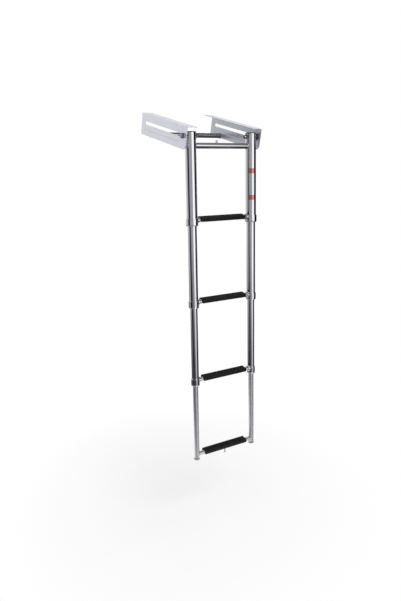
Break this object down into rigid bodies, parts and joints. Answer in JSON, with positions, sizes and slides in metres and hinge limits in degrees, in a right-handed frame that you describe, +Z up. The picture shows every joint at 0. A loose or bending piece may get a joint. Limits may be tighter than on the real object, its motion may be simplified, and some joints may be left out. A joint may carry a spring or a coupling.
{
  "type": "telescopic boat ladder",
  "caption": "Telescoping polished steel boarding ladder with ribbed treads on a pair of slotted slide tracks, hung under a swim platform.",
  "frame": {"origin": "in the plane of the flanges' top faces, midway between the tracks and midway along them", "axes": "+X to the right along the rungs, +Y back along the tracks away from the water, +Z up"},
  "size_m": [0.3268, 0.5681, 1.1757],
  "materials": {
    "polished_steel": "mirror-polished stainless steel",
    "polished_sheet": "mirror-polished stainless sheet",
    "black_rubber": "ribbed matt rubber",
    "black_plastic": "moulded, matt",
    "grey_plastic": "moulded, grey, matt",
    "pale_plastic": "natural acetal"
  },
  "bodies": {
    "tracks": {"left_track": "polished_sheet", "right_track": "polished_sheet", "rear_crossbar": "polished_steel"},
    "carriage": {"left_pivot_bolt": "polished_steel", "right_pivot_bolt": "polished_steel", "left_pivot_washer": "polished_steel", "right_pivot_washer": "polished_steel", "left_pivot_bush": "black_plastic", "right_pivot_bush": "black_plastic", "left_pivot_nut": "polished_steel", "right_pivot_nut": "polished_steel"},
    "section_1": {"left_top_cap": "black_plastic", "right_top_cap": "black_plastic", "top_cross_tube": "polished_steel", "top_stud": "polished_steel", "left_upright_1": "polished_steel", "right_upright_1": "polished_steel", "left_collar_1": "polished_steel", "right_collar_1": "polished_steel", "rung_1": "polished_steel", "tread_1": "black_rubber"},
    "section_2": {"left_upright_2": "polished_steel", "right_upright_2": "polished_steel", "guide_rings_2": "pale_plastic", "left_collar_2": "polished_steel", "right_collar_2": "polished_steel", "rung_2": "polished_steel", "tread_2": "black_rubber"},
    "section_3": {"left_upright_3": "polished_steel", "right_upright_3": "polished_steel", "guide_rings_3": "pale_plastic", "left_collar_3": "polished_steel", "right_collar_3": "polished_steel", "rung_3": "polished_steel", "tread_3": "black_rubber"},
    "section_4": {"left_upright_4": "polished_steel", "right_upright_4": "polished_steel", "guide_rings_4": "pale_plastic", "rung_4": "polished_steel", "tread_4": "black_rubber", "left_foot": "grey_plastic", "right_foot": "grey_plastic", "bottom_stud": "polished_steel"}
  },
  "joints": [
    {"name": "track_slide", "type": "slide", "parent": "tracks", "child": "carriage", "axis": [0, 1, 0], "range_m": [0, 0.265]},
    {"name": "swing", "type": "hinge", "parent": "carriage", "child": "section_1", "pos_m": [0, -0.137, -0.032], "axis": [-1, 0, 0], "range_deg": [0, 77]},
    {"name": "slide_2", "type": "slide", "parent": "section_1", "child": "section_2", "axis": [0, 0.225, 0.9744], "range_m": [0, 0.245]},
    {"name": "slide_3", "type": "slide", "parent": "section_2", "child": "section_3", "axis": [0, 0.225, 0.9744], "range_m": [0, 0.245]},
    {"name": "slide_4", "type": "slide", "parent": "section_3", "child": "section_4", "axis": [0, 0.225, 0.9744], "range_m": [0, 0.245]}
  ],
  "couplings": [
    {"joint": "track_slide", "follows": "swing", "m_per_rad": 0.19719}
  ]
}
